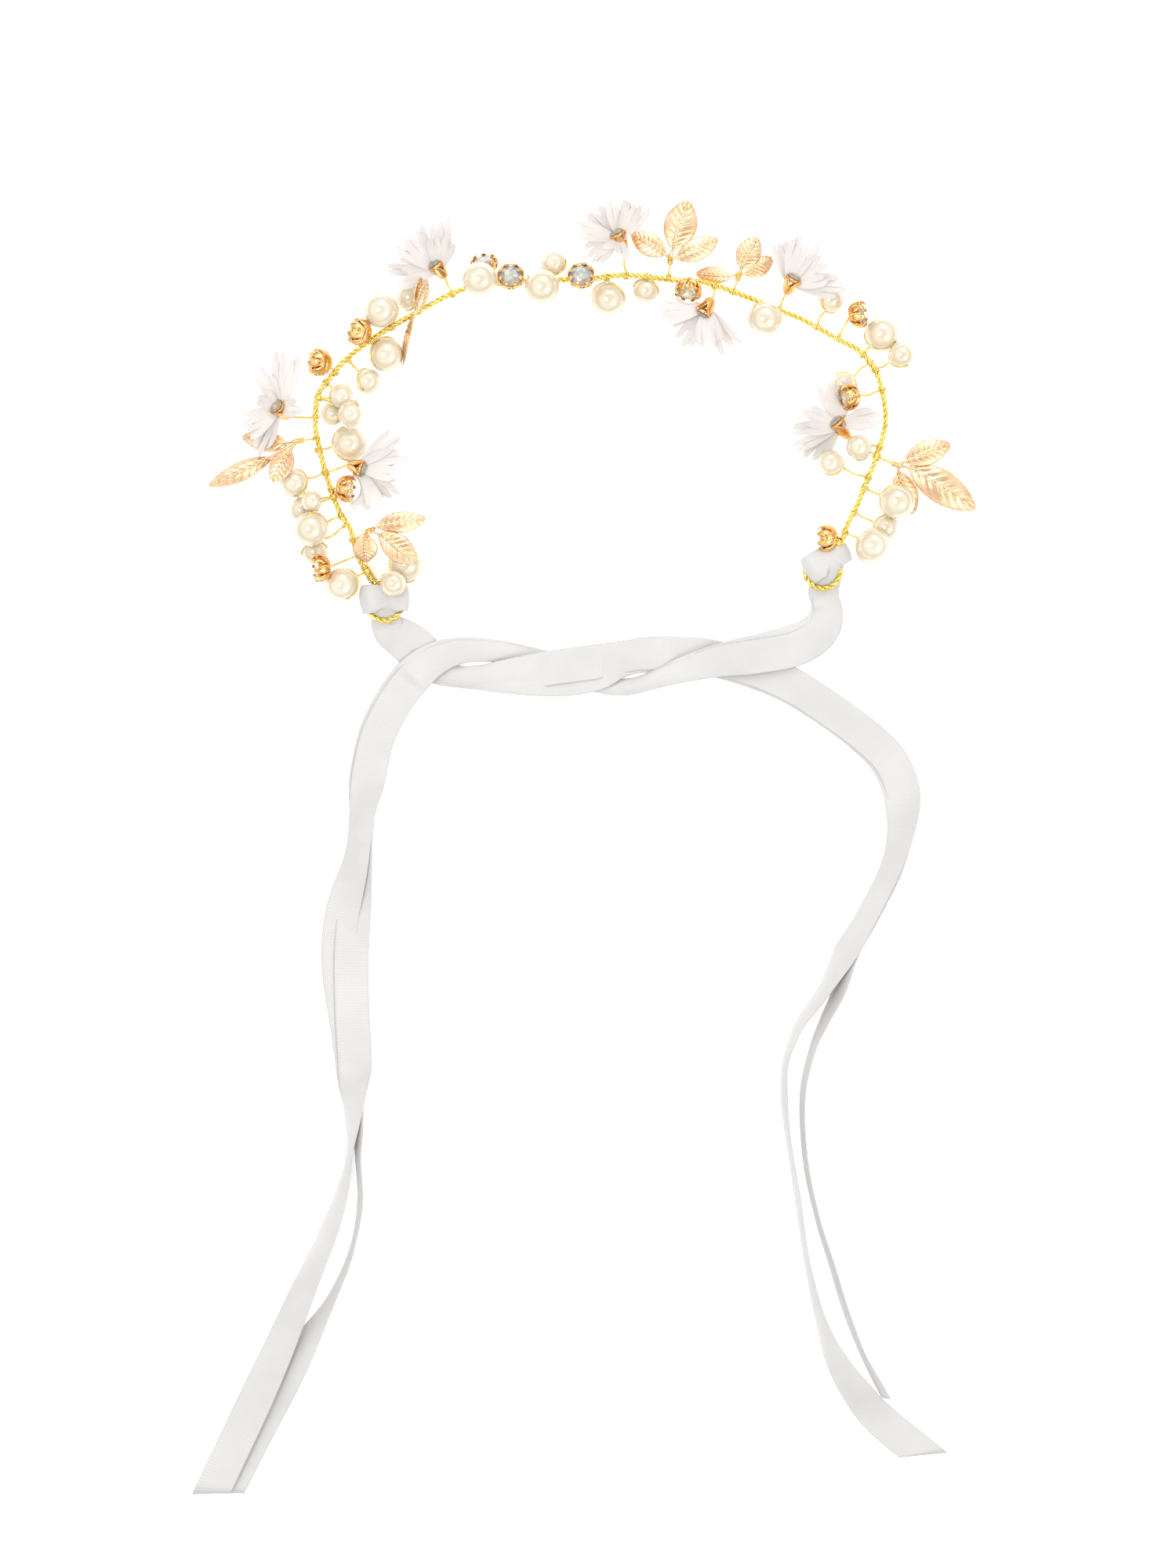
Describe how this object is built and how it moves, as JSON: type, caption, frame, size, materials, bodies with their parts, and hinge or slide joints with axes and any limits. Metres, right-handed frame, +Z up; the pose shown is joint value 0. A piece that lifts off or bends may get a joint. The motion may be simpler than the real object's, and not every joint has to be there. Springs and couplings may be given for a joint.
{
  "type": "flower crown",
  "caption": "A bridal flower crown of twisted gold wire with pearl beads, claw-set rhinestones, white silk flowers, pressed leaf sprigs and long satin ribbon ties, lying flat.",
  "frame": {"origin": "on the table, under the middle of the whole object's box", "axes": "+X across the wreath, +Y to the front of the wreath, away from the ribbon ends, +Z up from the table"},
  "size_m": [0.2261, 0.3789, 0.0182],
  "materials": {
    "wire": "polished",
    "setting": "polished",
    "leaf": "satin",
    "pearl": "glossy",
    "stone": "polished",
    "petal": "matte",
    "ribbon": "satin"
  },
  "bodies": {
    "crown": {"band_wire": "wire", "flower_1_heart": "setting", "flower_1_petals": "petal", "flower_2_heart": "setting", "flower_2_petals": "petal", "flower_3_heart": "setting", "flower_3_petals": "petal", "flower_4_heart": "setting", "flower_4_petals": "petal", "flower_5_heart": "setting", "flower_5_petals": "petal", "flower_6_heart": "setting", "flower_6_petals": "petal", "flower_7_heart": "setting", "flower_7_petals": "petal", "leaf_sprig_1": "leaf", "leaf_sprig_2": "leaf", "leaf_sprig_3": "leaf", "leaf_sprig_4": "leaf", "leaf_sprig_5": "leaf", "leaf_sprig_6": "leaf", "pearl_01": "pearl", "pearl_02": "pearl", "pearl_03": "pearl", "pearl_04": "pearl", "pearl_05": "pearl", "pearl_06": "pearl", "pearl_07": "pearl", "pearl_08": "pearl", "pearl_09": "pearl", "pearl_10": "pearl", "pearl_11": "pearl", "pearl_12": "pearl", "pearl_13": "pearl", "pearl_14": "pearl", "pearl_15": "pearl", "pearl_16": "pearl", "pearl_17": "pearl", "pearl_18": "pearl", "pearl_19": "pearl", "pearl_20": "pearl", "pearl_21": "pearl", "pearl_22": "pearl", "pearl_pair_1": "pearl", "pearl_pair_2": "pearl", "pearl_pair_3": "pearl", "pearl_trio": "pearl", "rhinestone_1": "stone", "rhinestone_10": "stone", "rhinestone_11": "stone", "rhinestone_2": "stone", "rhinestone_3": "stone", "rhinestone_4": "stone", "rhinestone_5": "stone", "rhinestone_6": "stone", "rhinestone_7": "stone", "rhinestone_8": "stone", "rhinestone_9": "stone"},
    "ribbon_tie": {"left_ribbon": "ribbon", "right_ribbon": "ribbon"}
  },
  "joints": [
    {"name": "ribbon_swing", "type": "hinge", "parent": "crown", "child": "ribbon_tie", "pos_m": [-0.0573, 0.0662, 0.005], "axis": [0.9973, 0.0733, 0], "range_deg": [-90, 90]}
  ]
}
